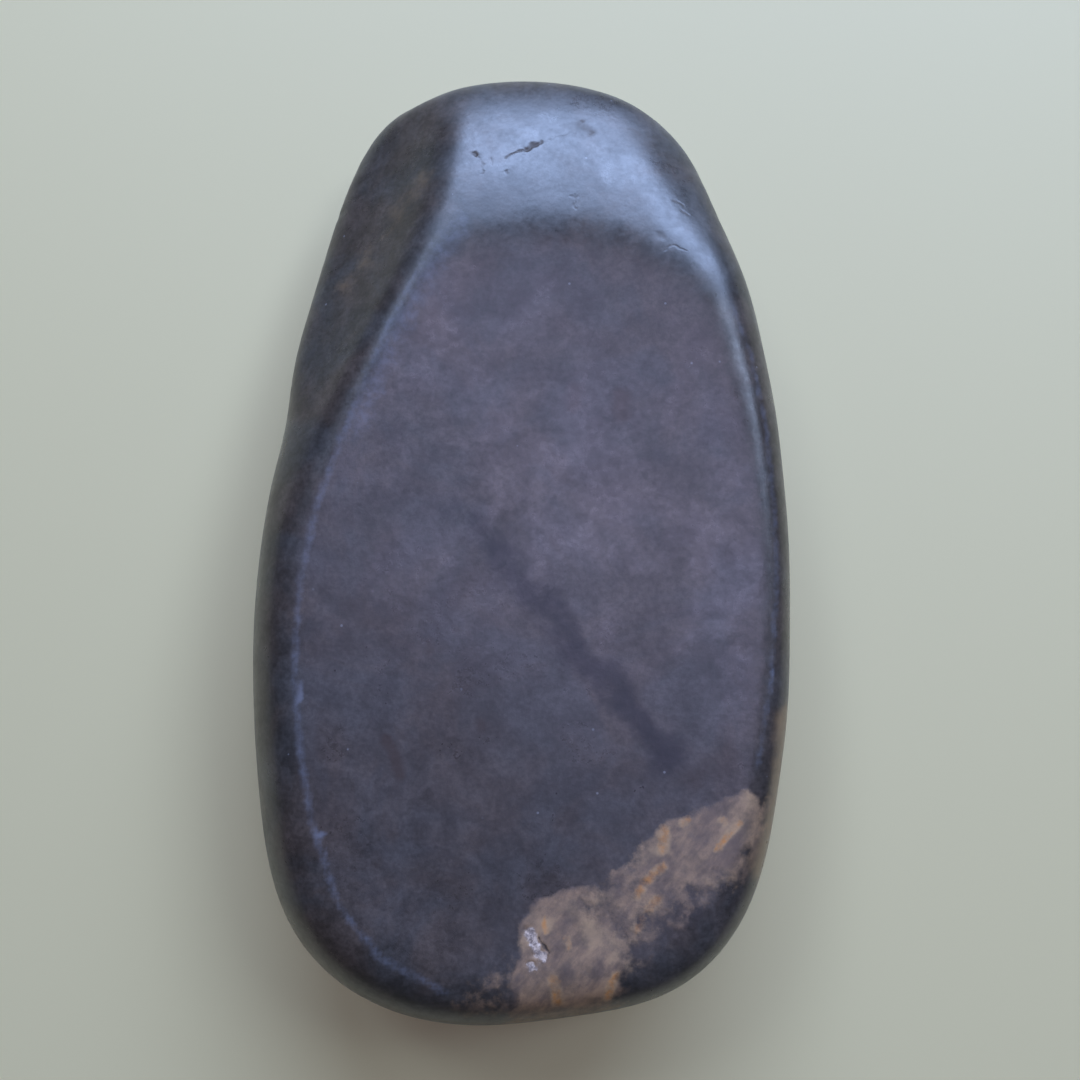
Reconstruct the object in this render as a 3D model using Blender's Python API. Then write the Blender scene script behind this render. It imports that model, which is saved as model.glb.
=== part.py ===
"""A large basalt massage stone, as one closed solid.

The blank is a river-worn pebble: a domed crown, sides that roll over a rim, and a rounded
belly ground to a small flat that the stone rests on. Three more surfaces are worn into it:
a shallow hollow that makes the broad top face, a scoop on the left of the nose and a facet
on the right of it. The ridges and the arris round the top face are where those surfaces
meet, each eased by its own amount.

+Y points to the narrow nose, +X to the right of it and +Z up. The origin is on the resting
plane, under the middle of the stone. Metres.
"""

import math

import bmesh
import bpy
import numpy as np

# Overall sizes. The height is that of the ridge between the hollow and the nose.
LENGTH = 0.2060
WIDTH = 0.1158
HEIGHT = 0.0395

# Outline seen from above, once round from +X, as shares of half the width and half the
# length. The left side is straighter than the right, with a slight waist beside the scoop.
OUTLINE = (
    (0.997, 0.010),
    (0.984, 0.126),
    (0.963, 0.252),
    (0.923, 0.384),
    (0.857, 0.540),
    (0.735, 0.715),
    (0.660, 0.817),
    (0.528, 0.902),
    (0.335, 0.963),
    (0.191, 0.988),
    (-0.182, 0.992),
    (-0.321, 0.975),
    (-0.534, 0.939),
    (-0.652, 0.857),
    (-0.733, 0.729),
    (-0.820, 0.525),
    (-0.878, 0.371),
    (-0.899, 0.233),
    (-0.940, 0.121),
    (-0.973, 0.010),
    (-0.993, -0.109),
    (-1.000, -0.237),
    (-0.990, -0.391),
    (-0.955, -0.580),
    (-0.841, -0.803),
    (-0.553, -0.952),
    (-0.182, -1.000),
    (0.191, -0.981),
    (0.549, -0.930),
    (0.814, -0.779),
    (0.929, -0.565),
    (0.978, -0.387),
    (0.994, -0.236),
    (1.000, -0.109),
)

# Sides, by azimuth in degrees: how far below the stone's height the rim runs, how far in the
# shoulder reaches, how far above the stone's height the shoulder's own top would be, and how
# square the shoulder is, where 2 is an ellipse
SIDES = (
    (0, 0.0185, 0.0230, 0.0010, 3.5),
    (45, 0.0195, 0.0250, 0.0010, 3.5),
    (90, 0.0215, 0.0220, 0.0020, 3.5),
    (130, 0.0215, 0.0240, 0.0012, 3.2),
    (165, 0.0195, 0.0150, -0.0002, 2.1),
    (200, 0.0185, 0.0150, -0.0003, 2.0),
    (235, 0.0185, 0.0170, 0.0000, 2.1),
    (270, 0.0185, 0.0230, 0.0008, 3.2),
    (310, 0.0185, 0.0230, 0.0008, 3.5),
)
BELLY_REACH = 0.058
BELLY_SINK = 0.0022  # how much of the belly the resting flat takes off
BELLY_POWER = 2.2

# Crown: a dome whose centre is set from the nose and the middle, and which would come down to
# its base a little past the nose and well past the heel and the sides
DOME_BASE = 0.0202
DOME_TOP = HEIGHT + 0.0034
DOME_FROM_NOSE = 0.0874
DOME_FROM_MIDDLE = 0.0084
DOME_PAST_NOSE = 0.0046
DOME_PAST_HEEL = 0.1411
DOME_PAST_RIGHT = 0.0355
DOME_PAST_LEFT = 0.0537

# Top face: a shallow dish that rises by its depth at these distances from its lowest point
HOLLOW_DEPTH = 0.0023
HOLLOW_FROM_NOSE = 0.1241
HOLLOW_FROM_MIDDLE = 0.0044
HOLLOW_WIDE = 0.0730
HOLLOW_LONG = 0.0795
HOLLOW_POWER = 3.0  # over 2, so it is flatter in its middle and steeper at its edge

# Cuts on the left and the right of the nose. Each starts at a straight ridge through a point
# set from its side and from the nose, and runs down the way it heads. Angles in degrees from
# +X. The scoop is fluted and the facet bulges, which its radius shows by its sign.
SCOOP_FROM_SIDE = 0.0333
SCOOP_FROM_NOSE = 0.0524
SCOOP_HEIGHT = HEIGHT + 0.0001
SCOOP_HEADING = 159.0
SCOOP_SLOPE = 0.90
SCOOP_RADIUS = 0.070
SCOOP_RIDGE_FALL = 0.045
FACET_FROM_SIDE = 0.0225
FACET_FROM_NOSE = 0.0434
FACET_HEIGHT = HEIGHT - 0.0003
FACET_HEADING = 32.0
FACET_SLOPE = 0.50
FACET_RADIUS = -0.090
FACET_RIDGE_FALL = 0.085

# How far each meeting of surfaces is worn round
EASE_HOLLOW = 0.0010
EASE_FACET = 0.0015
EASE_SIDES = 0.0014
EASE_SCOOP = 0.0030
EASE_FLAT = 0.0010

# Mesh: spokes round the middle, with points straight above and below each spoke's inner run
# and a fan of points round its core, which stands this far in from the outline
SPOKES = 124
CORE_INSET = 0.030
CORE_HEIGHT = 0.018
FACE_RINGS = 13
FACE_CROWDING = 0.6  # under 1, so the rings crowd towards the edge of the top face
FAN_ABOVE = 24
FAN_BELOW = 9
FLAT_RINGS = 4
HALVINGS = 40

UP = np.array([0.0, 0.0, 1.0])


def closed_spline(angles, values):
    """A smooth closed curve through values at rising angles, in radians, as a function."""
    angles = np.asarray(angles, float)
    values = np.asarray(values, float)
    count = len(angles)
    gap = np.diff(np.append(angles, angles[0] + math.tau))
    slope = np.diff(np.append(values, values[0])) / gap
    balance = np.zeros((count, count))
    for i in range(count):
        balance[i, i - 1] += gap[i - 1]
        balance[i, i] += 2 * (gap[i - 1] + gap[i])
        balance[i, (i + 1) % count] += gap[i]
    bend = np.linalg.solve(balance, 6 * (slope - np.roll(slope, 1)))

    def curve(angle):
        turned = np.mod(np.asarray(angle, float) - angles[0], math.tau) + angles[0]
        i = np.clip(np.searchsorted(angles, turned, side="right") - 1, 0, count - 1)
        j = (i + 1) % count
        past = turned - angles[i]
        left = gap[i] - past
        bow = (bend[i] * left**3 + bend[j] * past**3) / (6 * gap[i])
        start = (values[i] / gap[i] - bend[i] * gap[i] / 6) * left
        end = (values[j] / gap[i] - bend[j] * gap[i] / 6) * past
        return bow + start + end

    return curve


def outline_curve():
    """The outline's distance from the origin, by azimuth."""
    x, y = np.transpose(OUTLINE) * [[WIDTH / 2], [LENGTH / 2]]
    return closed_spline(np.unwrap(np.arctan2(y, x)), np.hypot(x, y))


def side_curve(column):
    """One of the sizes in SIDES, by azimuth."""
    return closed_spline(np.radians([row[0] for row in SIDES]), [row[column] for row in SIDES])


outline = outline_curve()
rim_depth = side_curve(1)
shoulder_reach = side_curve(2)
shoulder_top = side_curve(3)
shoulder_power = side_curve(4)


# Each surface is a function that is below zero inside it and is roughly the distance to it.


def rolled_edge(across, up, reach, height, power):
    """A superelliptic quarter. across and up run from 0 at its centre to 1 at its ends."""
    across = np.maximum(across, 1e-9)
    up = np.maximum(up, 1e-9)
    steepness = np.hypot(across ** (power - 1) / reach, up ** (power - 1) / height)
    return (across**power + up**power - 1) / (power * np.maximum(steepness, 1e-3))


def sides(x, y, z):
    """The shoulder above the rim and the belly below it."""
    azimuth = np.arctan2(y, x)
    radius = outline(azimuth)
    step = 1e-3
    lean = (outline(azimuth + step) - outline(azimuth - step)) / (2 * step * radius)
    inset = (radius - np.hypot(x, y)) / np.sqrt(1 + lean**2)
    rim = HEIGHT - rim_depth(azimuth)
    reach = shoulder_reach(azimuth)
    rise = rim_depth(azimuth) + shoulder_top(azimuth)
    fall = rim + BELLY_SINK
    power = shoulder_power(azimuth)
    shoulder = rolled_edge(1 - inset / reach, (z - rim) / rise, reach, rise, power)
    belly = rolled_edge(1 - inset / BELLY_REACH, (rim - z) / fall, BELLY_REACH, fall, BELLY_POWER)
    return np.where(z > rim, shoulder, belly)


def dome(x, y, z):
    """The crown of the blank."""
    across = x - DOME_FROM_MIDDLE
    along = y - (LENGTH / 2 - DOME_FROM_NOSE)
    to_right = WIDTH / 2 - DOME_FROM_MIDDLE + DOME_PAST_RIGHT
    to_left = WIDTH / 2 + DOME_FROM_MIDDLE + DOME_PAST_LEFT
    to_nose = DOME_FROM_NOSE + DOME_PAST_NOSE
    to_heel = LENGTH - DOME_FROM_NOSE + DOME_PAST_HEEL
    wide = np.where(across > 0, to_right, to_left)
    long = np.where(along > 0, to_nose, to_heel)
    rise = DOME_TOP - DOME_BASE
    up = np.maximum(z - DOME_BASE, 0)
    level = (across / wide) ** 2 + (along / long) ** 2 + (up / rise) ** 2 - 1
    steepness = np.sqrt((across / wide**2) ** 2 + (along / long**2) ** 2 + (up / rise**2) ** 2)
    return level / (2 * np.maximum(steepness, 1.0))


def hollow(x, y, z):
    """The shallow dish of the top face."""
    across = (x - HOLLOW_FROM_MIDDLE) / HOLLOW_WIDE
    along = (y - (LENGTH / 2 - HOLLOW_FROM_NOSE)) / HOLLOW_LONG
    return z - HEIGHT + HOLLOW_DEPTH * (1 - np.hypot(across, along) ** HOLLOW_POWER)


def nose_cut(point, ridge, heading, slope, radius, ridge_fall):
    """A cut that runs down from a ridge, which itself falls towards the nose."""
    x, y, z = point
    turn = math.radians(heading)
    towards_nose = 1 if math.cos(turn) < 0 else -1
    dx, dy = x - ridge[0], y - ridge[1]
    out = dx * math.cos(turn) + dy * math.sin(turn)
    along = towards_nose * (dx * math.sin(turn) - dy * math.cos(turn))
    bow = np.maximum(out, 0) ** 2 / (2 * radius)
    return (z - ridge[2] + slope * out - bow + ridge_fall * along) / math.hypot(1, slope)


def scoop(x, y, z):
    """The cut on the left of the nose."""
    ridge = (SCOOP_FROM_SIDE - WIDTH / 2, LENGTH / 2 - SCOOP_FROM_NOSE, SCOOP_HEIGHT)
    shape = (SCOOP_HEADING, SCOOP_SLOPE, SCOOP_RADIUS, SCOOP_RIDGE_FALL)
    return nose_cut((x, y, z), ridge, *shape)


def facet(x, y, z):
    """The cut on the right of the nose."""
    ridge = (WIDTH / 2 - FACET_FROM_SIDE, LENGTH / 2 - FACET_FROM_NOSE, FACET_HEIGHT)
    shape = (FACET_HEADING, FACET_SLOPE, FACET_RADIUS, FACET_RIDGE_FALL)
    return nose_cut((x, y, z), ridge, *shape)


def eased(first, second, ease):
    """Inside both surfaces, with a round of the given size where they meet."""
    overlap = np.maximum(ease - np.abs(first - second), 0) / ease
    return np.maximum(first, second) + overlap**2 * ease / 4


def stone(points):
    """The whole stone, at points whose last axis is x, y, z."""
    x, y, z = np.moveaxis(points, -1, 0)
    shape = eased(dome(x, y, z), hollow(x, y, z), EASE_HOLLOW)
    shape = eased(shape, facet(x, y, z), EASE_FACET)
    shape = eased(shape, sides(x, y, z), EASE_SIDES)
    shape = eased(shape, scoop(x, y, z), EASE_SCOOP)
    return eased(shape, -z, EASE_FLAT)


def way_out(start, direction):
    """Where rays from points inside the stone leave it, found by halving."""
    near = np.zeros(start.shape[:-1])
    far = np.full(start.shape[:-1], LENGTH)
    for _ in range(HALVINGS):
        middle = (near + far) / 2
        inside = stone(start + direction * middle[..., None]) < 0
        near = np.where(inside, middle, near)
        far = np.where(inside, far, middle)
    return start + direction * far[..., None]


def surface_rings():
    """Rings of points on the surface, from the middle of the top to that of the flat."""
    turn = np.linspace(0, math.tau, SPOKES, endpoint=False)
    azimuth = np.arctan2(np.sin(turn) * math.sqrt(LENGTH / WIDTH), np.cos(turn))
    spoke = np.stack([np.cos(azimuth), np.sin(azimuth), np.zeros(SPOKES)], axis=-1)
    core = spoke * (outline(azimuth) - CORE_INSET)[:, None]
    lift = UP * CORE_HEIGHT
    shares = np.linspace(0, 1, FACE_RINGS + 2)[1:-1] ** FACE_CROWDING
    above = [way_out(core * share + lift, UP) for share in shares]
    angles = np.concatenate([
        np.linspace(90, 0, FAN_ABOVE, endpoint=False),
        np.linspace(0, -90, FAN_BELOW + 1),
    ])
    fan = [
        way_out(core + lift, spoke * math.cos(angle) + UP * math.sin(angle))
        for angle in np.radians(angles)
    ]
    below = [way_out(core * share + lift, -UP) for share in np.linspace(1, 0, FLAT_RINGS + 2)[1:-1]]
    return above + fan + below


def stone_mesh():
    """The closed mesh, standing on the resting plane with its box centred on the origin."""
    lift = UP * CORE_HEIGHT
    rings = surface_rings()
    poles = [way_out(lift, UP), way_out(lift, -UP)]
    points = np.concatenate([*rings, poles])
    low, high = points.min(axis=0), points.max(axis=0)
    shift = np.array([low[0] + high[0], low[1] + high[1], 2 * low[2]]) / 2

    shape = bmesh.new()
    loops = [[shape.verts.new(point - shift) for point in ring] for ring in rings]
    top, bottom = (shape.verts.new(pole - shift) for pole in poles)
    for i in range(SPOKES):
        j = (i + 1) % SPOKES
        shape.faces.new((top, loops[0][i], loops[0][j]))
        for inner, outer in zip(loops, loops[1:]):
            shape.faces.new((inner[i], outer[i], outer[j], inner[j]))
        shape.faces.new((bottom, loops[-1][j], loops[-1][i]))
    bmesh.ops.triangulate(shape, faces=shape.faces[:])
    mesh = bpy.data.meshes.new("stone")
    shape.to_mesh(mesh)
    shape.free()
    mesh.shade_smooth()
    return mesh


def basalt():
    """Dark, close-grained stone, polished by handling."""
    material = bpy.data.materials.new("basalt")
    material.use_nodes = True
    shader = material.node_tree.nodes["Principled BSDF"]
    shader.inputs["Base Color"].default_value = (0.055, 0.055, 0.075, 1)
    shader.inputs["Metallic"].default_value = 0.0
    shader.inputs["Roughness"].default_value = 0.38
    return material


def main():
    for item in list(bpy.data.objects):
        bpy.data.objects.remove(item, do_unlink=True)
    mesh = stone_mesh()
    mesh.materials.append(basalt())
    piece = bpy.data.objects.new("stone", mesh)
    bpy.context.scene.collection.objects.link(piece)


main()
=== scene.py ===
"""The looks of a basalt massage stone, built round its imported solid.

The solid gives the place, the size and the broad shape. Here its surface is made finer, the
flaws of the natural rock are worked into it, and it is dressed as polished basalt. Metres, with
+Y to the narrow nose and +Z up. Places on the stone are in millimetres, so that they read easily.
"""

import enum
import logging
import math
from dataclasses import dataclass
from typing import Any

import bpy
import numpy as np
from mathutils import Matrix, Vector, noise


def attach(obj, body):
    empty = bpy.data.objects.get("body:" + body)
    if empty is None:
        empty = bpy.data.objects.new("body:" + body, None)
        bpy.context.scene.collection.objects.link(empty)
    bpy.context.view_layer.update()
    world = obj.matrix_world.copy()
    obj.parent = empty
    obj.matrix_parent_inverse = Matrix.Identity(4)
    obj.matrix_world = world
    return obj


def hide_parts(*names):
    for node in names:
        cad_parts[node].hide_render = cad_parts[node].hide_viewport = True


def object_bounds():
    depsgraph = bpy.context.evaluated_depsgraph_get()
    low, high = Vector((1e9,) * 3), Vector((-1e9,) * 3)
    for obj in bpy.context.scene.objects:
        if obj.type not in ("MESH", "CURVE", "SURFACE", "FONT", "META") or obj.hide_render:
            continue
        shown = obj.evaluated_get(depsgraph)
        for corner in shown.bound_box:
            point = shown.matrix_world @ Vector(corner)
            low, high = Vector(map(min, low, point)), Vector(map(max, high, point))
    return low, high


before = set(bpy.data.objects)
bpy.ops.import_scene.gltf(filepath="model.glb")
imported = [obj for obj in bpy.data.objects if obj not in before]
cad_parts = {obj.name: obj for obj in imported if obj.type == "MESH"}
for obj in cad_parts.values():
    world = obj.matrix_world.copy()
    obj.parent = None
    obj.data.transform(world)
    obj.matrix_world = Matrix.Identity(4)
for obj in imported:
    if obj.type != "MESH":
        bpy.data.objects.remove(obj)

log = logging.getLogger("massage_stone")
CAD_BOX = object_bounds()
MM = 0.001

# A Mix node that mixes colours has its share and its two colours at these inputs.
MIX_INPUTS = (0, 6, 7)
MIX_OUTPUT = 2

Colour = tuple[float, float, float]
Place = tuple[float, float]
Line = tuple[Place, ...]
Span = tuple[float, float]
Socket = bpy.types.NodeSocket


class Mark(enum.Enum):
    """What the stone's mesh tells its material, one value per point."""

    VEIN = "vein"
    SKIN = "weathered_skin"
    ORANGE = "orange_streaks"
    QUARTZ = "quartz"
    RUST = "rust_in_flaws"
    # Where a pale bluish highlight is painted along the arrises.
    WEAR = "painted_arris_highlight"
    BROWN = "brown_spots"
    # Where the rusty stain lies, and where an olive-brown highlight is painted in the scoop.
    STAIN = "rusty_stain_and_sheen"


def distance_to_line(x: np.ndarray, y: np.ndarray, line: Line) -> np.ndarray:
    """Measure how far points are from a line of straight runs.

    Args:
        x: The points' x.
        y: The points' y.
        line: The line's own points, in the same unit.

    Returns:
        The distances.
    """
    best = np.full(x.shape, np.inf)
    for (ax, ay), (bx, by) in zip(line, line[1:]):
        dx, dy = bx - ax, by - ay
        share = np.clip(((x - ax) * dx + (y - ay) * dy) / (dx * dx + dy * dy), 0, 1)
        best = np.minimum(best, np.hypot(x - ax - share * dx, y - ay - share * dy))
    return best


def depth_in_outline(x: np.ndarray, y: np.ndarray, outline: Line) -> np.ndarray:
    """Measure how far inside a closed outline points are.

    Args:
        x: The points' x.
        y: The points' y.
        outline: The outline's corners, in the same unit.

    Returns:
        The distances, below zero outside.
    """
    closed = (*outline, outline[0])
    inside = np.zeros(x.shape, bool)
    for (ax, ay), (bx, by) in zip(closed, closed[1:]):
        if ay == by:
            continue
        crosses = (ay > y) != (by > y)
        inside ^= crosses & (x < (bx - ax) * (y - ay) / (by - ay) + ax)
    return np.where(inside, 1, -1) * distance_to_line(x, y, closed)


def ramp(values: np.ndarray, low: float, high: float) -> np.ndarray:
    """Ease from 0 at low to 1 at high, either way round."""
    share = np.clip((values - low) / (high - low), 0, 1)
    return share * share * (3 - 2 * share)


@dataclass(frozen=True)
class Flaw:
    """A pit, crack or dent that runs along a line on the stone, seen from above.

    Attributes:
        line: Its points, in millimetres.
        width: Its half width, in millimetres.
        depth: How deep it is, in millimetres.
        rust: How much brown rust lies in it, 0 to 1.
        rust_spread: How far the rust reaches, as a share of the half width.
    """

    line: Line
    width: float
    depth: float
    rust: float = 0.0
    rust_spread: float = 1.4

    def sink(self, x: np.ndarray, y: np.ndarray) -> np.ndarray:
        """Say how far it presses the surface in at each place, in millimetres."""
        return self.depth * ramp(distance_to_line(x, y, self.line), self.width, 0.0)

    def rust_share(self, x: np.ndarray, y: np.ndarray) -> np.ndarray:
        """Say how much rust it leaves at each place, 0 to 1."""
        reach = self.rust_spread * self.width
        return self.rust * ramp(distance_to_line(x, y, self.line), reach, 0.0)


@dataclass(frozen=True)
class Streak:
    """A streak, a spot or a soft line of colour on the stone, seen from above.

    Attributes:
        line: The points it runs along, in millimetres.
        width: How far from the line it ends, in millimetres.
        strength: How strong it is along the line, 0 to 1.
        core: How far from the line it keeps that strength, in millimetres.
    """

    line: Line
    width: float
    strength: float = 1.0
    core: float = 0.0

    def share(self, x: np.ndarray, y: np.ndarray) -> np.ndarray:
        """Say how strong it is at each place, 0 to 1."""
        return self.strength * ramp(distance_to_line(x, y, self.line), self.width, self.core)


def strongest(streaks: tuple[Streak, ...], x: np.ndarray, y: np.ndarray) -> np.ndarray:
    """Say how strong the strongest of some streaks is at each place, 0 to 1."""
    return np.max([streak.share(x, y) for streak in streaks], axis=0)


@dataclass(frozen=True)
class Jag:
    """A noise that moves places sideways, so that smooth lines become jagged.

    Its jags are the same each run only once noise.seed_set has been called.

    Attributes:
        size: The size of the jags, in millimetres.
        reach: How far the jags reach, in millimetres.
    """

    size: float
    reach: float

    def moved(self, points: np.ndarray) -> tuple[np.ndarray, np.ndarray]:
        """Move places.

        Args:
            points: The places, one to a row, in millimetres.

        Returns:
            The moved places' x and y.
        """
        shifts = [tuple(noise.noise_vector(Vector(point) / self.size)) for point in points]
        places = points + self.reach * np.array(shifts)
        return places[:, 0], places[:, 1]


@dataclass(frozen=True)
class Noise:
    """A soft noise in a material.

    Attributes:
        size: The size of its blots, in metres.
        detail: How many finer layers it has.
        rough: How strong the finer layers are.
        offset: Moves it, so that two of one size differ.
        stretch: How much longer its blots are along each axis.
        turn: How far it is turned about the vertical, in degrees.
        warp: How much it is distorted.
    """

    size: float
    detail: float
    rough: float
    offset: float = 0.0
    stretch: tuple[float, float, float] = (1.0, 1.0, 1.0)
    turn: float = 0.0
    warp: float = 0.0


@dataclass(frozen=True)
class Pattern:
    """A noise that is eased into a useful value.

    Attributes:
        noise: The noise.
        low: The noise's value where the pattern has its start value.
        high: The noise's value where the pattern has its end value.
        start: The start value.
        end: The end value.
    """

    noise: Noise
    low: float
    high: float
    start: float = 0.0
    end: float = 1.0


@dataclass(frozen=True)
class Edge:
    """How noise breaks up the soft edge of a mark, and how crisp the edge then is.

    Attributes:
        size: The size of the noise, in metres.
        reach: How much the noise changes the mark.
        low: The changed mark's value where the edge begins.
        high: The changed mark's value where the mark is whole.
        most: How much of the mark shows where it is whole.
    """

    size: float
    reach: float
    low: float
    high: float
    most: float = 1.0

    def noise(self) -> Noise:
        """Describe the noise, moved so that no two edges have the same one."""
        return Noise(self.size, 4.0, 0.65, offset=self.size * 70)


@dataclass(frozen=True)
class Relief:
    """A noise that lifts the surface.

    Attributes:
        noise: The noise.
        height: How high it reaches, in millimetres.
    """

    noise: Noise
    height: float


class Shading:
    """The nodes of one material, with short ways to add them.

    Attributes:
        material: The material.
        tree: Its nodes.
        shader: Its Principled shader.
        place: The place on the object, which its patterns read.
    """

    def __init__(self, name: str) -> None:
        """Start a material that has only its shader.

        Args:
            name: The material's name.
        """
        self.material = bpy.data.materials.new(name)
        self.material.use_nodes = True
        self.tree = self.material.node_tree
        self.shader = self.tree.nodes["Principled BSDF"]
        self.place = self.node("ShaderNodeTexCoord").outputs["Object"]

    def node(self, kind: str, **settings: Any) -> bpy.types.Node:
        """Add a node and set its properties.

        Args:
            kind: The node's type.
            settings: Its properties, by name.

        Returns:
            The node.
        """
        added = self.tree.nodes.new(kind)
        for name, value in settings.items():
            setattr(added, name, value)
        return added

    def plug(self, value: Socket | float | Colour, target: Socket) -> None:
        """Link a socket to an input, or set the input to a plain value.

        Args:
            value: The socket, or the number or colour.
            target: The input.
        """
        if isinstance(value, Socket):
            self.tree.links.new(value, target)
        elif isinstance(value, tuple) and target.type == "RGBA":
            target.default_value = (*value, 1.0)
        else:
            target.default_value = value

    def math(self, operation: str, *values: Socket | float, clamp: bool = False) -> Socket:
        """Add a Math node.

        Args:
            operation: What it does, such as ADD.
            values: What it reads.
            clamp: Whether the result is kept between 0 and 1.

        Returns:
            The result.
        """
        added = self.node("ShaderNodeMath", operation=operation, use_clamp=clamp)
        for value, target in zip(values, added.inputs):
            self.plug(value, target)
        return added.outputs[0]

    def fit(
        self, value: Socket, low: float, high: float, start: float = 0.0, end: float = 1.0
    ) -> Socket:
        """Ease a value that runs from low to high into one that runs from start to end.

        Args:
            value: The value.
            low: Where it begins.
            high: Where it stops.
            start: What the result begins with.
            end: What the result stops with.

        Returns:
            The result.
        """
        added = self.node("ShaderNodeMapRange", interpolation_type="SMOOTHSTEP", clamp=True)
        for part, target in zip((value, low, high, start, end), added.inputs):
            self.plug(part, target)
        return added.outputs["Result"]

    def mix(
        self, share: Socket | float, first: Socket | Colour, second: Socket | Colour,
        how: str = "MIX",
    ) -> Socket:
        """Mix two colours.

        Args:
            share: How much of the second colour there is, 0 to 1.
            first: The first colour.
            second: The second colour.
            how: The way to mix them, such as MIX or MULTIPLY.

        Returns:
            The mixed colour.
        """
        added = self.node("ShaderNodeMix", data_type="RGBA", blend_type=how)
        for part, place in zip((share, first, second), MIX_INPUTS):
            self.plug(part, added.inputs[place])
        return added.outputs[MIX_OUTPUT]

    def noise(self, kind: Noise) -> Socket:
        """Add a soft noise.

        Args:
            kind: What it is like.

        Returns:
            The noise, about 0 to 1.
        """
        mapping = self.node("ShaderNodeMapping", vector_type="TEXTURE")
        mapping.inputs["Location"].default_value = (kind.offset, -kind.offset, 2 * kind.offset)
        mapping.inputs["Rotation"].default_value = (0.0, 0.0, math.radians(kind.turn))
        mapping.inputs["Scale"].default_value = kind.stretch
        self.plug(self.place, mapping.inputs["Vector"])
        added = self.node("ShaderNodeTexNoise")
        self.plug(mapping.outputs[0], added.inputs["Vector"])
        added.inputs["Scale"].default_value = 1 / kind.size
        added.inputs["Detail"].default_value = kind.detail
        added.inputs["Roughness"].default_value = kind.rough
        added.inputs["Distortion"].default_value = kind.warp
        return added.outputs["Fac"]

    def pattern(self, kind: Pattern) -> Socket:
        """Add a noise and ease it into the pattern's value."""
        return self.fit(self.noise(kind.noise), kind.low, kind.high, kind.start, kind.end)

    def raised(self, relief: Relief) -> Socket:
        """Add a noise as a height, in millimetres."""
        return self.math("MULTIPLY", self.noise(relief.noise), relief.height)

    def shaded(self, colour: Socket, value: Socket) -> Socket:
        """Make a colour darker or paler by a varying value.

        Args:
            colour: The colour.
            value: The value, below 1 where the colour gets darker.

        Returns:
            The changed colour.
        """
        grey = self.node("ShaderNodeCombineColor")
        for target in grey.inputs:
            self.plug(value, target)
        return self.mix(1.0, colour, grey.outputs[0], "MULTIPLY")

    def mark(self, mark: Mark) -> Socket:
        """Read one of the values that the mesh carries."""
        return self.node("ShaderNodeAttribute", attribute_name=mark.value).outputs["Fac"]

    def edged(self, mark: Mark, edge: Edge) -> Socket:
        """Read a mark and break up its soft edge, with no change where the mark isn't.

        Args:
            mark: The mark.
            edge: What its edge is like.

        Returns:
            How much of the mark shows.
        """
        value = self.mark(mark)
        swing = self.math("SUBTRACT", self.noise(edge.noise()), 0.5)
        present = self.fit(value, 0.0, 0.25)
        change = self.math("MULTIPLY", self.math("MULTIPLY", swing, edge.reach), present)
        return self.fit(self.math("ADD", value, change), edge.low, edge.high, 0.0, edge.most)


@dataclass(frozen=True)
class Specks:
    """Tiny pale specks, strewn over the rock.

    Attributes:
        colour: Their colour.
        spacing: The size of the cells that can each hold one, in metres.
        size: From where to where in its cell a speck fades, as shares of the cell.
        rare: Which of the cells hold one: those whose own random value is above this span.
        strength: How much of its colour a speck shows.
    """

    colour: Colour = (0.260, 0.260, 0.290)
    spacing: float = 0.0042
    size: Span = (0.075, 0.045)
    rare: Span = (0.60, 0.72)
    strength: float = 0.5

    def share(self, s: Shading) -> Socket:
        """Say how much of a speck shows at each place.

        Args:
            s: The material's nodes.

        Returns:
            The share, 0 where there is no speck.
        """
        cells = s.node("ShaderNodeTexVoronoi", feature="F1")
        s.plug(s.place, cells.inputs["Vector"])
        cells.inputs["Scale"].default_value = 1 / self.spacing
        pale = s.fit(cells.outputs["Distance"], *self.size)
        rare = s.fit(cells.outputs["Color"], *self.rare)
        return s.math("MULTIPLY", s.math("MULTIPLY", pale, rare), self.strength)


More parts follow.
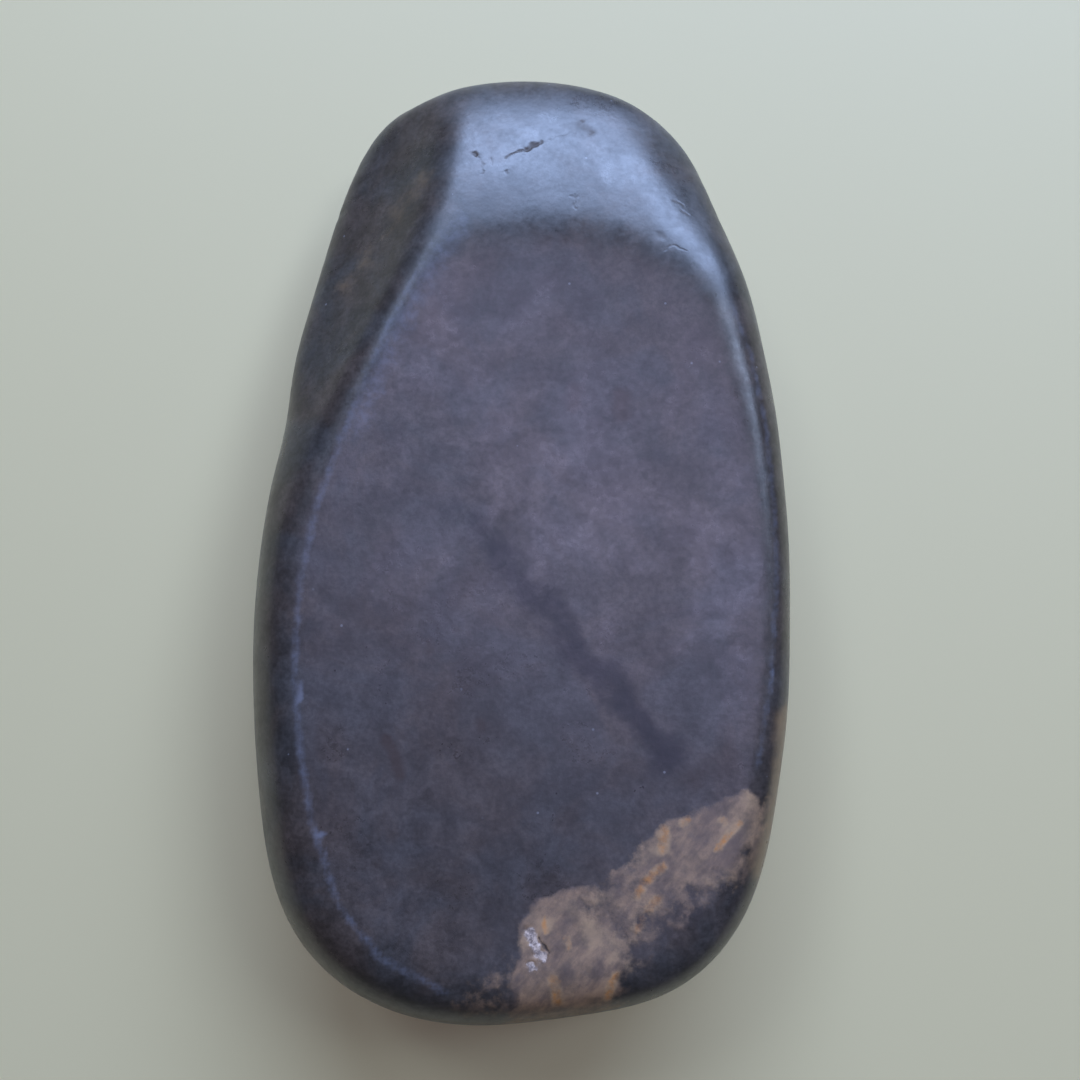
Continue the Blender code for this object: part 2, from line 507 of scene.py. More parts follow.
@dataclass(frozen=True)
class BasaltFinish:
    """Hand-polished basalt with its vein, its weathered skin and its quartz.

    Attributes:
        body: The plain rock's colour.
        cool: The colour of its cooler clouds.
        warm: The colour of its warmer clouds.
        clouds: Where the cooler clouds are.
        body_share: How much of the plain colour lies over the clouds.
        blots: How pale or dark the rock is in blots.
        grain: How pale or dark the rock is from grain to grain.
        vein: The dark vein's colour.
        vein_edge: The vein's edge.
        vein_cover: How much of the rock the vein hides.
        skin: The weathered skin's colour.
        skin_dark: Its colour in its dark streaks.
        skin_pale: Its colour in its pale parts.
        skin_edge: The skin's edge.
        skin_streaks: Where the skin isn't in a dark streak.
        skin_pale_parts: Where the skin is pale.
        skin_cover: How much of the rock the skin hides.
        orange: The colour of the orange streaks in the skin.
        orange_halo: The pale halo round an orange streak.
        orange_core: The orange middle of a streak.
        orange_bright: How bright that middle is.
        stain_and_sheen: The colour of the rusty stain, also used for the olive-brown highlight
            painted in the scoop.
        stain_and_sheen_edge: The edge of the stain and of the painted highlight.
        quartz: The quartz's colour.
        quartz_shade: Its colour between its grains.
        quartz_edge: The quartz's edge.
        quartz_sugar: Where the quartz's grains are.
        rust: The colour of the rust in the flaws.
        rust_edge: The rust's edge.
        brown: The colour of the brown spots.
        brown_edge: The spots' edge.
        highlight_colour: The pale bluish colour of the highlight painted along the arrises.
        highlight_edge: The painted highlight's edge.
        specks: The pale specks.
        gloss: The roughness of the polish.
        smears: How the roughness varies in broad smears.
        fine_smears: How it varies in fine smears.
        vein_matt: How much rougher the vein is.
        skin_matt: How much rougher the skin is.
        quartz_matt: How much rougher the quartz is.
        highlight_matt: How much rougher the surface is under the painted arris highlight.
        rust_matt: How much rougher the rust is.
        refraction: How strongly the polish reflects, as its index of refraction.
        close_grain: The finest relief.
        ripple: The middle relief.
        swell: The broadest relief.
        coarse: The extra relief of the skin and the quartz.
    """

    body: Colour = (0.050, 0.042, 0.040)
    cool: Colour = (0.042, 0.041, 0.043)
    warm: Colour = (0.059, 0.042, 0.035)
    clouds: Pattern = Pattern(Noise(0.022, 5.0, 0.60, warp=0.5), 0.38, 0.62)
    body_share: float = 0.35
    blots: Pattern = Pattern(Noise(0.007, 5.0, 0.66, offset=0.3, warp=0.4), 0.30, 0.70, 0.62, 1.36)
    grain: Pattern = Pattern(Noise(0.0010, 3.0, 0.7, offset=0.7), 0.28, 0.72, 0.76, 1.26)

    vein: Colour = (0.006, 0.006, 0.012)
    vein_edge: Edge = Edge(0.005, 1.5, 0.10, 1.05)
    vein_cover: float = 0.90

    skin: Colour = (0.370, 0.230, 0.135)
    skin_dark: Colour = (0.175, 0.112, 0.080)
    skin_pale: Colour = (0.520, 0.335, 0.180)
    skin_edge: Edge = Edge(0.0030, 1.3, 0.26, 0.80)
    skin_streaks: Pattern = Pattern(
        Noise(0.0030, 5.0, 0.65, offset=0.5, stretch=(1.0, 2.6, 1.0), turn=-38.0), 0.34, 0.66
    )
    skin_pale_parts: Pattern = Pattern(Noise(0.0100, 3.0, 0.6, offset=0.8), 0.50, 0.70, 0.0, 0.6)
    skin_cover: Pattern = Pattern(Noise(0.0045, 5.0, 0.7, offset=0.2), 0.30, 0.66, 0.42, 0.92)

    orange: Colour = (0.580, 0.240, 0.060)
    orange_halo: Edge = Edge(0.0022, 0.9, 0.05, 0.75, 0.7)
    orange_core: Edge = Edge(0.0014, 1.3, 0.30, 1.05)
    orange_bright: Pattern = Pattern(Noise(0.0030, 4.0, 0.7, offset=0.9), 0.36, 0.62, 0.20, 1.0)
    # The rusty stain's colour, which also paints a faint olive-brown highlight along the scoop.
    stain_and_sheen: Colour = (0.250, 0.160, 0.090)
    stain_and_sheen_edge: Edge = Edge(0.0050, 1.1, 0.10, 0.95, 0.80)

    quartz: Colour = (0.640, 0.500, 0.420)
    quartz_shade: Colour = (0.240, 0.185, 0.165)
    quartz_edge: Edge = Edge(0.0011, 1.6, 0.25, 0.80)
    quartz_sugar: Pattern = Pattern(Noise(0.0009, 3.0, 0.7), 0.36, 0.62)

    rust: Colour = (0.034, 0.018, 0.012)
    rust_edge: Edge = Edge(0.0009, 0.5, 0.15, 0.60)
    brown: Colour = (0.030, 0.016, 0.012)
    brown_edge: Edge = Edge(0.0028, 0.8, 0.10, 0.90, 0.75)
    # Painted highlight: a pale bluish colour laid along the arrises where they would catch the
    # window's light.
    highlight_colour: Colour = (0.150, 0.160, 0.205)
    highlight_edge: Edge = Edge(0.0022, 1.0, 0.20, 1.00, 0.75)
    specks: Specks = Specks()

    gloss: float = 0.33
    smears: Pattern = Pattern(
        Noise(0.013, 4.0, 0.6, offset=0.4, warp=0.6), 0.30, 0.70, -0.05, 0.06
    )
    fine_smears: Pattern = Pattern(Noise(0.0015, 2.0, 0.6, offset=0.1), 0.30, 0.70, -0.03, 0.03)
    vein_matt: float = 0.06
    skin_matt: float = 0.12
    quartz_matt: float = 0.10
    highlight_matt: float = 0.06
    rust_matt: float = 0.25
    refraction: float = 1.68

    close_grain: Relief = Relief(Noise(0.0007, 2.0, 0.6), 0.014)
    ripple: Relief = Relief(Noise(0.0022, 2.0, 0.5, offset=0.9), 0.022)
    swell: Relief = Relief(Noise(0.0060, 2.0, 0.5, offset=0.6), 0.060)
    coarse: Relief = Relief(Noise(0.0016, 4.0, 0.7), 0.035)

    def material(self) -> bpy.types.Material:
        """Make the material.

        Returns:
            The material, which reads the stone mesh's marks.
        """
        s = Shading("polished_basalt")
        vein = s.edged(Mark.VEIN, self.vein_edge)
        skin = s.edged(Mark.SKIN, self.skin_edge)
        quartz = s.edged(Mark.QUARTZ, self.quartz_edge)
        colour = self.body_colour(s)
        colour = s.mix(s.math("MULTIPLY", vein, self.vein_cover), colour, self.vein)
        colour = self.skin_colour(s, colour, skin)
        colour = self.small_marks(s, colour)
        sugar = s.pattern(self.quartz_sugar)
        colour = s.mix(quartz, colour, s.mix(sugar, self.quartz_shade, self.quartz))
        s.plug(colour, s.shader.inputs["Base Color"])
        self.set_gloss(s, vein, skin, quartz)
        self.set_relief(s, skin, quartz)
        return s.material

    def body_colour(self, s: Shading) -> Socket:
        """Mix the clouds and the grain of the plain rock.

        Args:
            s: The material's nodes.

        Returns:
            The plain rock's colour.
        """
        colour = s.mix(s.pattern(self.clouds), self.warm, self.cool)
        colour = s.mix(self.body_share, colour, self.body)
        colour = s.shaded(colour, s.pattern(self.blots))
        return s.shaded(colour, s.pattern(self.grain))

    def skin_colour(self, s: Shading, colour: Socket, skin: Socket) -> Socket:
        """Lay the weathered skin, its orange streaks and the stain beside it over the heel, and
        the painted highlight in the scoop.

        Args:
            s: The material's nodes.
            colour: The colour under the skin.
            skin: How much of the skin shows.

        Returns:
            The colour with the skin on it.
        """
        tone = s.mix(s.pattern(self.skin_streaks), self.skin_dark, self.skin)
        tone = s.mix(s.pattern(self.skin_pale_parts), tone, self.skin_pale)
        tone = s.mix(s.edged(Mark.ORANGE, self.orange_halo), tone, self.skin_pale)
        core = s.edged(Mark.ORANGE, self.orange_core)
        bright = s.pattern(self.orange_bright)
        tone = s.mix(s.math("MULTIPLY", core, bright), tone, self.orange)
        cover = s.math("MULTIPLY", skin, s.pattern(self.skin_cover))
        colour = s.mix(cover, colour, tone)
        # The rusty stain by the skin, and a faint painted olive-brown highlight in the scoop.
        return s.mix(s.edged(Mark.STAIN, self.stain_and_sheen_edge), colour, self.stain_and_sheen)

    def small_marks(self, s: Shading, colour: Socket) -> Socket:
        """Add brown spots, rust in the flaws, a painted bluish highlight along the arrises, and
        specks.

        Args:
            s: The material's nodes.
            colour: The colour under them.

        Returns:
            The colour with the marks on it.
        """
        colour = s.mix(s.edged(Mark.BROWN, self.brown_edge), colour, self.brown)
        colour = s.mix(s.edged(Mark.RUST, self.rust_edge), colour, self.rust)
        # Painted highlight along the arrises, in a pale bluish colour.
        colour = s.mix(s.edged(Mark.WEAR, self.highlight_edge), colour, self.highlight_colour)
        return s.mix(self.specks.share(s), colour, self.specks.colour)

    def set_gloss(self, s: Shading, vein: Socket, skin: Socket, quartz: Socket) -> None:
        """Vary how polished the surface is.

        Args:
            s: The material's nodes.
            vein: How much of the vein shows.
            skin: How much of the skin shows.
            quartz: How much of the quartz shows.
        """
        rough = s.math("ADD", s.pattern(self.smears), s.pattern(self.fine_smears))
        rough = s.math("ADD", rough, self.gloss)
        rough = s.math("ADD", rough, s.math("MULTIPLY", vein, self.vein_matt))
        rough = s.math("ADD", rough, s.math("MULTIPLY", skin, self.skin_matt))
        rough = s.math("ADD", rough, s.math("MULTIPLY", quartz, self.quartz_matt))
        # The surface is a little rougher under the painted arris highlight.
        highlight_rough = s.math("MULTIPLY", s.mark(Mark.WEAR), self.highlight_matt)
        rusty = s.math("MULTIPLY", s.mark(Mark.RUST), self.rust_matt)
        rough = s.math("ADD", s.math("ADD", rough, highlight_rough), rusty, clamp=True)
        s.plug(rough, s.shader.inputs["Roughness"])
        s.shader.inputs["IOR"].default_value = self.refraction

    def set_relief(self, s: Shading, skin: Socket, quartz: Socket) -> None:
        """Give the surface its close grain and its shallow swells.

        Args:
            s: The material's nodes.
            skin: How much of the skin shows.
            quartz: How much of the quartz shows.
        """
        height = s.math("ADD", s.raised(self.close_grain), s.raised(self.ripple))
        height = s.math("ADD", height, s.raised(self.swell))
        coarse = s.math("MULTIPLY", s.noise(self.coarse.noise), s.math("ADD", skin, quartz))
        height = s.math("ADD", height, s.math("MULTIPLY", coarse, self.coarse.height))
        bump = s.node("ShaderNodeBump")
        bump.inputs["Strength"].default_value = 1.0
        bump.inputs["Distance"].default_value = MM
        s.plug(height, bump.inputs["Height"])
        s.plug(bump.outputs[0], s.shader.inputs["Normal"])


@dataclass
class MassageStone:
    """The stone itself: one piece of rock.

    The sizes of its faces are in metres. All its places, widths and heights are in millimetres,
    and each pair of numbers says where something starts and where it is whole.

    Attributes:
        finish: What the stone is made of.
        seed: What the jags are drawn from. Without it they would differ from run to run.
        face_size: The size of the remeshed faces.
        weld: How near points are merged.
        subdivisions: How often the solid's faces are divided to round them.
        smooth_factor: How strongly the remeshed faces are smoothed each time.
        smooth_times: How often they are smoothed.
        refinements: How often the faces round the flaws are divided.
        refine_margin: How far round a flaw they are divided.
        refine_above: The height above which they are divided.
        marks_rise: The height where the marks on the top begin.
        highlight_rise: The height where the painted highlight on the arris begins.
        facing_up: The upward part of the surface's normal where flaws begin.
        flaw_jag: The jags of the flaws and the quartz.
        skin_jag: The jags of the skin.
        vein_jag: The jags of the vein.
        flaws: The pits, cracks and dents.
        vein: The line of the dark vein.
        vein_width: How far from its line the vein ends.
        vein_fade: The y where the vein begins, on its way from the nose.
        skin: The outline of the weathered skin.
        skin_crisp_edge: The edge where the skin stops sharply.
        skin_soft_edge: The edge where it fades out.
        skin_crisp_fade: How far either side of the outline it fades at the crisp edge.
        skin_soft_fade: How much further it fades at the soft edge.
        skin_edge_swap: How much nearer to one edge than to the other its fade is that edge's.
        skin_thin: How strong the skin is where it is thin.
        skin_thick: The places where it is thick.
        skin_haze: A faint haze beside it.
        stains_and_sheen: The rusty stain, strong by the skin, and a faint olive-brown highlight
            painted in the scoop.
        orange: The orange streaks in the skin.
        quartz: The lumps of quartz.
        quartz_least: The share of quartz above which its surface is broken up.
        quartz_depth: How deep that surface lies.
        quartz_relief: How far its swells go up and down from there.
        quartz_swells: How close the swells are, per millimetre.
        quartz_facets: How close its flat facets are, per millimetre.
        quartz_facet_share: How strong the facets are beside the swells.
        brown: The brown spots and smudges.
        highlight_strokes: The highlight painted on the arris round the top face: three short
            marks, a veil and two lines.
    """

    finish: BasaltFinish = BasaltFinish()
    seed: int = 1_795_118_298
    face_size: float = 0.95 * MM
    weld: float = 0.01 * MM
    subdivisions: int = 2
    smooth_factor: float = 0.5
    smooth_times: int = 4
    refinements: int = 2
    refine_margin: float = 1.0
    refine_above: float = 25.0
    marks_rise: Span = (12.0, 24.0)
    highlight_rise: Span = (30.0, 36.0)
    facing_up: Span = (0.1, 0.4)
    flaw_jag: Jag = Jag(1.3, 0.7)
    skin_jag: Jag = Jag(4.0, 2.2)
    vein_jag: Jag = Jag(9.0, 3.4)
    flaws: tuple[Flaw, ...] = (
        Flaw(((-9.8, 81.0), (-9.3, 80.2)), 0.75, 0.22, 0.7),
        Flaw(((-9.3, 80.4), (-8.6, 79.0), (-7.8, 77.5), (-8.0, 75.2)), 0.24, 0.06, 0.3),
        Flaw(((-6.6, 79.4), (-6.0, 77.8)), 0.24, 0.06, 0.3),
        Flaw(((-2.8, 75.9), (-2.6, 75.3)), 0.40, 0.10, 0.4),
        Flaw(((-3.4, 79.5), (-1.9, 80.3)), 0.26, 0.08, 0.6),
        Flaw(((-1.9, 80.3), (-0.3, 81.2), (1.5, 81.4)), 0.30, 0.10, 0.7),
        Flaw(((1.2, 81.5), (2.4, 82.0), (3.4, 82.9)), 0.85, 0.24, 1.0),
        Flaw(((3.4, 82.9), (4.6, 83.5)), 0.50, 0.14, 0.8),
        Flaw(((4.9, 83.5), (8.7, 85.3), (11.8, 85.9), (13.7, 87.4)), 0.18, 0.03, 0.25),
        Flaw(((13.0, 88.6), (14.4, 87.4), (15.6, 86.2)), 1.5, 0.04, 0.38),
        Flaw(((13.6, 89.2), (14.0, 88.9)), 0.35, 0.08, 0.8),
        Flaw(((15.2, 86.4), (15.7, 86.0)), 0.40, 0.08, 0.8),
        Flaw(((10.6, 69.8), (11.4, 69.4), (12.2, 69.6)), 0.28, 0.05, 0.35),
        Flaw(((11.5, 70.2), (11.4, 68.6), (11.9, 66.9)), 0.22, 0.05, 0.35),
        Flaw(((24.6, 88.0), (26.6, 86.8)), 1.1, 0.02, 0.35),
        Flaw(((33.2, 70.1), (34.8, 68.9)), 0.7, 0.05, 0.5),
        Flaw(((34.8, 67.6), (36.0, 66.6)), 0.6, 0.05, 0.5),
        Flaw(((29.2, 61.0), (29.9, 60.2)), 1.3, 0.05, 0.3),
        Flaw(
            ((30.5, 57.0), (31.4, 58.0), (33.0, 58.6), (34.2, 58.1), (35.4, 57.5)), 0.22, 0.09, 0.3
        ),
        Flaw(((4.4, -83.2), (5.0, -84.6), (5.9, -86.2)), 0.32, 0.14, 0.6),
        Flaw(((-41.2, 73.6), (-42.6, 73.1)), 0.9, 0.25, 0.0),
    )
    vein: Line = (
        (-19.6, 10.0), (-13.3, 3.0), (-6.0, -4.5), (0.2, -13.3), (8.4, -22.1), (16.5, -31.0),
        (24.6, -40.7), (28.9, -48.0),
    )
    vein_width: float = 7.0
    vein_fade: Span = (24.0, -16.0)
    skin: Line = (
        (-3.6, -103.0), (-2.4, -96.0), (-0.6, -90.0), (0.6, -83.0), (1.4, -77.5), (5.3, -74.2),
        (11.2, -74.0), (16.2, -72.6), (19.8, -69.9), (23.2, -65.8), (26.2, -63.6), (29.3, -60.8),
        (34.4, -58.8), (38.7, -56.8), (43.3, -55.6), (47.4, -54.6), (51.4, -58.0), (52.4, -62.0),
        (49.6, -66.6), (46.4, -69.9), (42.4, -73.0), (38.9, -75.4), (35.9, -77.0), (33.9, -79.5),
        (30.3, -82.0), (26.9, -84.6), (24.9, -86.6), (22.9, -89.0), (21.4, -93.0), (19.4, -103.0),
    )
    skin_crisp_edge: Line = (
        (0.6, -83.0), (1.4, -77.5), (5.3, -74.2), (11.2, -74.0), (16.2, -72.6), (19.8, -69.9),
        (23.2, -65.8), (26.2, -63.6), (29.3, -60.8), (34.4, -58.8), (38.7, -56.8), (45.0, -55.2),
    )
    skin_soft_edge: Line = (
        (51.4, -62.0), (42.4, -73.0), (33.9, -79.5), (24.9, -86.6), (21.4, -93.0), (19.4, -103.0),
    )
    skin_crisp_fade: float = 1.2
    skin_soft_fade: float = 5.0
    skin_edge_swap: float = 6.0
    skin_thin: float = 0.64
    skin_thick: tuple[Streak, ...] = (
        Streak(((36.0, -63.0), (44.0, -60.0)), 15.0, core=3.0),
        Streak(((3.0, -86.0), (12.0, -93.0)), 15.0, core=3.0),
    )
    skin_haze: Streak = Streak(((-1.0, -90.0), (-9.0, -97.0)), 9.0, 0.42)
    stains_and_sheen: tuple[Streak, ...] = (
        Streak(
            ((55.2, -41.0), (55.2, -48.0), (54.4, -56.0), (52.6, -64.0), (49.6, -70.0)),
            6.0, core=0.5,
        ),
        # Painted highlight: a faint olive-brown sheen laid along the scoop.
        Streak(((-20.8, 76.0), (-29.0, 66.0), (-38.5, 54.0)), 7.0, 0.27),
    )
    orange: tuple[Streak, ...] = (
        Streak(((29.0, -62.2), (28.9, -66.2)), 2.10),
        Streak(((28.6, -69.6), (26.4, -71.4), (24.6, -73.2), (23.6, -75.0)), 1.82),
        Streak(((27.8, -75.6), (26.4, -76.8), (25.2, -78.8), (23.4, -81.4)), 1.82),
        Streak(((33.0, -60.9), (33.5, -60.4)), 1.96),
        Streak(((44.4, -61.0), (41.6, -63.6), (39.6, -66.0)), 1.26),
        Streak(((40.8, -60.4), (41.3, -61.0)), 1.40),
        Streak(((6.8, -91.0), (7.4, -92.6), (7.8, -95.4)), 2.10),
        Streak(((5.2, -80.0), (5.6, -82.0)), 1.26),
        Streak(((9.6, -83.4), (10.0, -84.8)), 1.12),
        Streak(((19.2, -90.2), (18.3, -91.8), (17.7, -94.6)), 1.68),
    )
    quartz: tuple[Streak, ...] = (
        Streak(((2.1, -82.2), (2.8, -83.2)), 1.9, core=0.2),
        Streak(((3.0, -83.9), (4.7, -86.9)), 1.6, core=0.2),
        Streak(((2.3, -88.2), (2.7, -88.8)), 1.1, core=0.2),
    )
    quartz_least: float = 0.02
    quartz_depth: float = 0.10
    quartz_relief: float = 0.20
    quartz_swells: float = 0.8
    quartz_facets: float = 1.1
    quartz_facet_share: float = 0.7
    brown: tuple[Streak, ...] = (
        Streak(((-26.8, -44.5), (-25.0, -48.0), (-23.8, -51.5)), 2.2),
        Streak(((-7.9, -41.0), (-7.6, -42.6)), 2.0, 0.8),
        Streak(((-18.3, -24.8), (-18.4, -26.8)), 2.0, 0.6),
        Streak(((-35.0, -16.0), (-31.0, -20.0)), 5.0, 0.4),
        Streak(((11.6, 24.5), (11.8, 27.5)), 3.8, 0.70),
        Streak(((21.4, 22.6), (21.4, 26.4)), 3.6, 0.95),
        Streak(((-22.0, 40.0), (-15.0, 47.0)), 7.0, 0.4),
        Streak(((36.0, -52.0), (42.0, -48.0)), 6.0, 0.5),
    )
    # Painted highlight: strokes along the arris, where a pale bluish colour stands for the light
    # the crest catches.
    highlight_strokes: tuple[Streak, ...] = (
        Streak(((-40.8, -62.6), (-39.0, -63.4)), 1.2),
        Streak(((-44.6, -33.0), (-44.2, -36.5)), 1.0),
        Streak(((51.5, -31.0), (51.4, -33.0)), 0.9),
        Streak(
            ((-13.0, 63.0), (-18.0, 55.0), (-24.0, 44.0), (-30.0, 31.0), (-34.5, 19.0)), 7.0, 0.50
        ),
        Streak(
            (
                (-21.6, 53.0), (-27.6, 41.0), (-32.6, 29.0), (-37.8, 15.0), (-42.0, 3.0),
                (-45.0, -13.0), (-45.6, -29.0), (-44.4, -45.0), (-41.0, -62.0), (-35.4, -77.0),
                (-27.0, -87.0), (-14.0, -93.5),
            ),
            1.9, 0.54, 0.2,
        ),
        Streak(
            (
                (44.4, 47.0), (48.9, 35.0), (51.9, 19.0), (53.0, 3.0), (53.0, -13.0),
                (51.4, -33.0), (48.0, -50.0),
            ),
            1.6, 0.44, 0.2,
        ),
    )

    def build(self) -> bpy.types.Object:
        """Make the stone.

        Returns:
            The finished piece.
        """
        noise.seed_set(self.seed)
        piece = self.fine_copy()
        self.refine(piece)
        self.work_flaws(piece)
        self.mark_surface(piece)
        piece.data.materials.clear()
        piece.data.materials.append(self.finish.material())
        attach(piece, "root")
        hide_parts("stone")
        return piece

    def fine_copy(self) -> bpy.types.Object:
        """Copy the solid and give it small, even faces.

        Returns:
            The copy.
        """
        piece = bpy.data.objects.new("massage_stone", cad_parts["stone"].data.copy())
        bpy.context.scene.collection.objects.link(piece)
        bpy.ops.object.select_all(action="DESELECT")
        piece.select_set(True)
        bpy.context.view_layer.objects.active = piece
        bpy.ops.object.mode_set(mode="EDIT")
        bpy.ops.mesh.select_all(action="SELECT")
        bpy.ops.mesh.remove_doubles(threshold=self.weld)
        bpy.ops.mesh.tris_convert_to_quads()
        bpy.ops.object.mode_set(mode="OBJECT")
        times = self.subdivisions
        self.apply(piece, "SUBSURF", levels=times, render_levels=times)
        shape = bpy.data.objects.new("smooth_shape", piece.data.copy())
        bpy.context.scene.collection.objects.link(shape)
        self.apply(piece, "REMESH", mode="VOXEL", voxel_size=self.face_size)
        self.apply(piece, "SMOOTH", factor=self.smooth_factor, iterations=self.smooth_times)
        self.apply(piece, "SHRINKWRAP", target=shape, wrap_method="NEAREST_SURFACEPOINT")
        bpy.data.objects.remove(shape)
        bpy.ops.object.shade_smooth()
        return piece

    def apply(self, piece: bpy.types.Object, kind: str, **settings: Any) -> None:
        """Add a modifier to the piece and apply it.

        Args:
            piece: The piece, which is the active object.
            kind: The modifier's type.
            settings: Its properties, by name.
        """
        modifier = piece.modifiers.new(kind.lower(), kind)
        for name, value in settings.items():
            setattr(modifier, name, value)
        bpy.ops.object.modifier_apply(modifier=modifier.name)

    def refine(self, piece: bpy.types.Object) -> None:
        """Divide the faces round the flaws and the quartz, so that they come out crisp.

        Args:
            piece: The piece, which is the active object.
        """
        for _ in range(self.refinements):
            mesh = piece.data
            x, y, z = (np.array([polygon.center for polygon in mesh.polygons]) / MM).T
            near = strongest(self.quartz, x, y) > 0.0
            for flaw in self.flaws:
                near |= distance_to_line(x, y, flaw.line) < flaw.width + self.refine_margin
            near &= z > self.refine_above
            bpy.ops.object.mode_set(mode="EDIT")
            bpy.ops.mesh.select_mode(type="FACE")
            bpy.ops.mesh.select_all(action="DESELECT")
            bpy.ops.object.mode_set(mode="OBJECT")
            mesh.polygons.foreach_set("select", near)
            bpy.ops.object.mode_set(mode="EDIT")
            bpy.ops.mesh.subdivide(number_cuts=1)
            bpy.ops.object.mode_set(mode="OBJECT")

    def points(self, piece: bpy.types.Object) -> np.ndarray:
        """Read the mesh's points.

        Args:
            piece: The piece.

        Returns:
            The points in millimetres, one to a row.
        """
        flat = np.empty(len(piece.data.vertices) * 3)
        piece.data.vertices.foreach_get("co", flat)
        return flat.reshape(-1, 3) / MM

    def work_flaws(self, piece: bpy.types.Object) -> None:
        """Press the pits and cracks into the top, and break up the quartz.

        Args:
            piece: The piece.
        """
        points = self.points(piece)
        normals = np.empty(points.size)
        piece.data.vertices.foreach_get("normal", normals)
        normals = normals.reshape(-1, 3)
        x, y = self.flaw_jag.moved(points)
        sink = np.max([flaw.sink(x, y) for flaw in self.flaws], axis=0)
        crystal = strongest(self.quartz, x, y)
        for i in np.nonzero(crystal > self.quartz_least)[0]:
            sink[i] += crystal[i] * self.broken_depth(points[i])
        sink *= ramp(normals[:, 2], *self.facing_up)
        moved = (points - normals * sink[:, None]) * MM
        piece.data.vertices.foreach_set("co", moved.ravel())
        piece.data.update()

    def broken_depth(self, point: np.ndarray) -> float:
        """Say how deep the broken surface of the quartz lies at one point.

        Args:
            point: The point, in millimetres.

        Returns:
            The depth, in millimetres.
        """
        place = Vector(point)
        swells = noise.noise(place * self.quartz_swells)
        facets = self.quartz_facet_share * noise.cell(place * self.quartz_facets)
        return self.quartz_depth + self.quartz_relief * (swells + facets)

    def mark_surface(self, piece: bpy.types.Object) -> None:
        """Write the marks that the material reads.

        Args:
            piece: The piece.
        """
        points = self.points(piece)
        x, y, z = points.T
        rough_x, rough_y = self.flaw_jag.moved(points)
        rust = [flaw.rust_share(rough_x, rough_y) for flaw in self.flaws]
        marks = {
            Mark.VEIN: self.vein_share(*self.vein_jag.moved(points)),
            Mark.SKIN: self.skin_share(*self.skin_jag.moved(points)),
            # The rusty stain, and the painted highlight in the scoop.
            Mark.STAIN: strongest(self.stains_and_sheen, x, y),
            Mark.ORANGE: strongest(self.orange, x, y),
            Mark.QUARTZ: strongest(self.quartz, rough_x, rough_y),
            Mark.RUST: np.max(rust, axis=0),
            # Painted highlight along the arris, only high on the stone.
            Mark.WEAR: strongest(self.highlight_strokes, x, y) * ramp(z, *self.highlight_rise),
            Mark.BROWN: strongest(self.brown, x, y),
        }
        upper = ramp(z, *self.marks_rise)
        for mark, values in marks.items():
            attribute = piece.data.attributes.new(mark.value, "FLOAT", "POINT")
            attribute.data.foreach_set("value", (values * upper).astype(np.float32))

    def skin_share(self, x: np.ndarray, y: np.ndarray) -> np.ndarray:
        """Say how strong the weathered skin is: one edge is crisp and one fades.

        Args:
            x: The places' x, in millimetres.
            y: The places' y, in millimetres.

        Returns:
            The strengths, 0 to 1.
        """
        depth = depth_in_outline(x, y, self.skin)
        to_crisp = distance_to_line(x, y, self.skin_crisp_edge)
        to_soft = distance_to_line(x, y, self.skin_soft_edge)
        softness = ramp(to_crisp - to_soft, -self.skin_edge_swap, self.skin_edge_swap)
        fade = self.skin_crisp_fade + self.skin_soft_fade * softness
        thickness = self.skin_thin + (1 - self.skin_thin) * strongest(self.skin_thick, x, y)
        skin = np.clip(0.5 + depth / (2 * fade), 0, 1) * thickness
        return np.maximum(skin, self.skin_haze.share(x, y))

    def vein_share(self, x: np.ndarray, y: np.ndarray) -> np.ndarray:
        """Say how strong the dark vein is, 0 to 1: it fades towards the nose."""
        across = ramp(distance_to_line(x, y, self.vein), self.vein_width, 0.0)
        return across * ramp(y, *self.vein_fade)


@dataclass(frozen=True)
class Panel:
    """A soft rectangular light that faces the stone.

    Attributes:
        name: Its name.
        place: Where it hangs, in metres.
        size: Its width and height, in metres.
        power: Its power, in watts.
        colour: Its colour.
    """

    name: str
    place: tuple[float, float, float]
    size: tuple[float, float]
    power: float
    colour: Colour

    def hang(self) -> None:
        """Hang the light."""
        light = bpy.data.lights.new(self.name, "AREA")
        light.shape = "RECTANGLE"
        light.size, light.size_y = self.size
        light.energy = self.power
        light.color = self.colour
        lamp = bpy.data.objects.new(self.name, light)
        lamp.location = self.place
        lamp.rotation_euler = (-Vector(self.place)).to_track_quat("-Z", "Y").to_euler()
        bpy.context.scene.collection.objects.link(lamp)


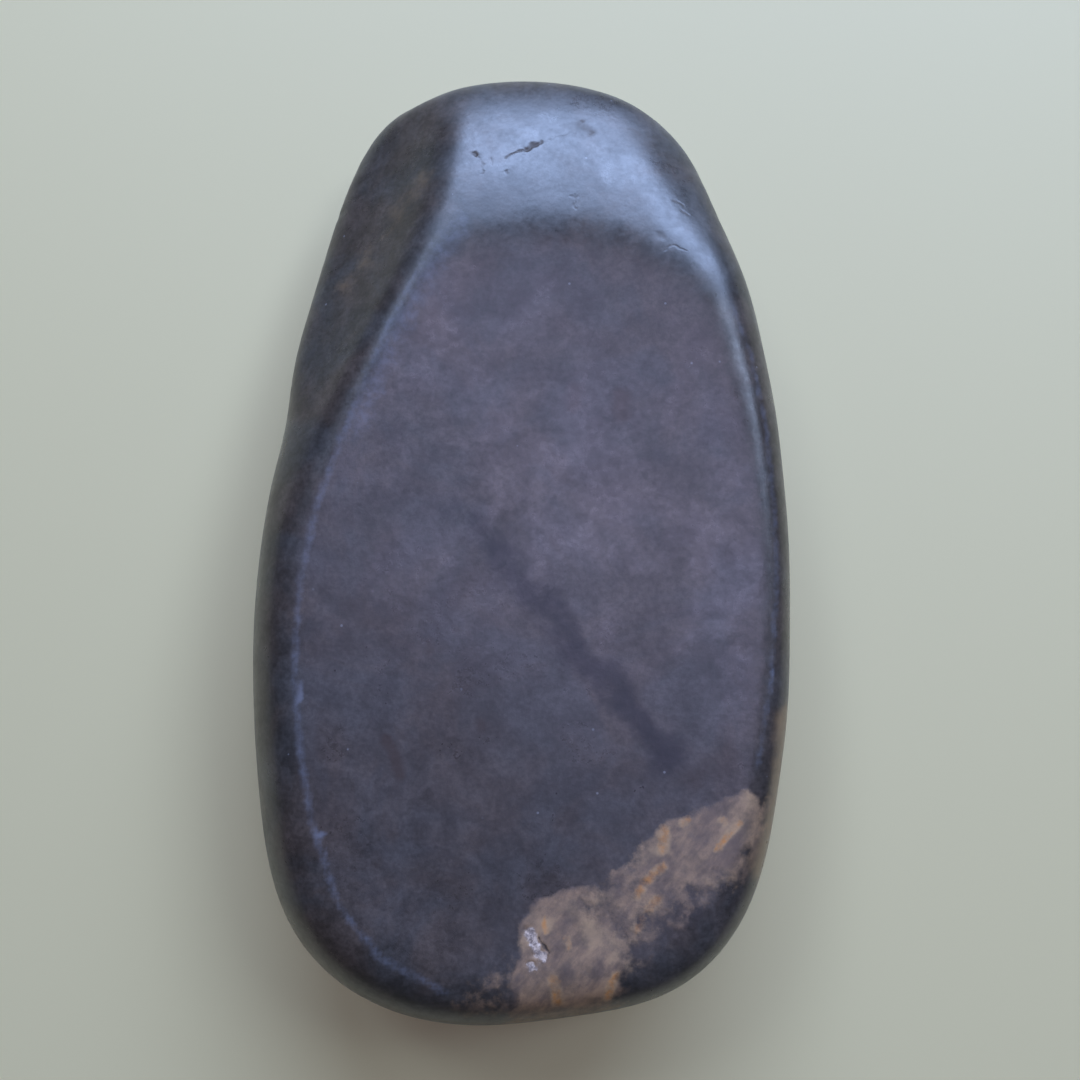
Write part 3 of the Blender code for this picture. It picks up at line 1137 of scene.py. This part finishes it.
@dataclass
class Studio:
    """The floor, the lights and the camera.

    Attributes:
        camera_place: Where the camera is, in metres.
        camera_tilt: How far from straight down it looks towards the nose, in degrees.
        lens: Its focal length, in millimetres.
        sensor: The width of its sensor, in millimetres.
        nearest: How near it can see, in metres.
        floor_size: The length of the floor's sides, in metres.
        floor: The floor's colour.
        floor_roughness: The floor's roughness.
        room: The colour of the dim light from all round.
        room_light: How strong that light is.
        panels: The soft lights: a cool window towards the nose, and dimmer ones above and at
            the sides.
    """

    camera_place: tuple[float, float, float] = (4.3 * MM, -29.6 * MM, 259.0 * MM)
    camera_tilt: float = 6.6
    lens: float = 36.0
    sensor: float = 36.0
    nearest: float = 0.01
    floor_size: float = 4.0
    floor: Colour = (0.72, 0.62, 0.36)
    floor_roughness: float = 0.55
    room: Colour = (1.0, 0.98, 0.95)
    room_light: float = 0.06
    panels: tuple[Panel, ...] = (
        Panel("window", (0.28, 1.34, 0.90), (1.8, 0.62), 44.0, (0.46, 0.62, 1.0)),
        Panel("ceiling", (0.10, 0.20, 1.7), (1.0, 0.40), 5.0, (0.66, 0.64, 1.0)),
        Panel("right_wall", (1.0, 0.60, 1.40), (0.4, 0.6), 6.5, (0.56, 0.70, 1.0)),
        Panel("left_wall", (-0.75, 1.00, 1.40), (0.4, 0.5), 5.0, (0.56, 0.70, 1.0)),
    )

    def build(self) -> None:
        """Set the stage."""
        self.lay_floor()
        for panel in self.panels:
            panel.hang()
        self.light_room()
        self.place_camera()
        bpy.context.scene.view_settings.view_transform = "Standard"

    def lay_floor(self) -> None:
        """Lay a plain pale floor under the stone."""
        bpy.ops.object.select_all(action="DESELECT")
        place = (0.0, 0.0, CAD_BOX[0][2])
        bpy.ops.mesh.primitive_plane_add(size=self.floor_size, location=place)
        floor = bpy.context.object
        floor.name = "floor"
        s = Shading("pale_floor")
        s.plug(self.floor, s.shader.inputs["Base Color"])
        s.shader.inputs["Roughness"].default_value = self.floor_roughness
        floor.data.materials.append(s.material)

    def light_room(self) -> None:
        """Give the room its dim light from all round."""
        world = bpy.data.worlds.new("room")
        world.use_nodes = True
        shader = world.node_tree.nodes["Background"]
        shader.inputs["Color"].default_value = (*self.room, 1.0)
        shader.inputs["Strength"].default_value = self.room_light
        bpy.context.scene.world = world

    def place_camera(self) -> None:
        """Look almost straight down, from over the heel's side of the middle."""
        lens = bpy.data.cameras.new("camera")
        lens.lens = self.lens
        lens.sensor_width = self.sensor
        lens.clip_start = self.nearest
        camera = bpy.data.objects.new("camera", lens)
        camera.location = self.camera_place
        camera.rotation_euler = (math.radians(self.camera_tilt), 0.0, 0.0)
        bpy.context.scene.collection.objects.link(camera)
        bpy.context.scene.camera = camera


def main() -> None:
    """Build the stage and the stone."""
    logging.basicConfig(level=logging.INFO, format="%(name)s: %(message)s")
    Studio().build()
    piece = MassageStone().build()
    log.info("%s: %d faces", piece.name, len(piece.data.polygons))


if __name__ == "__main__":
    main()
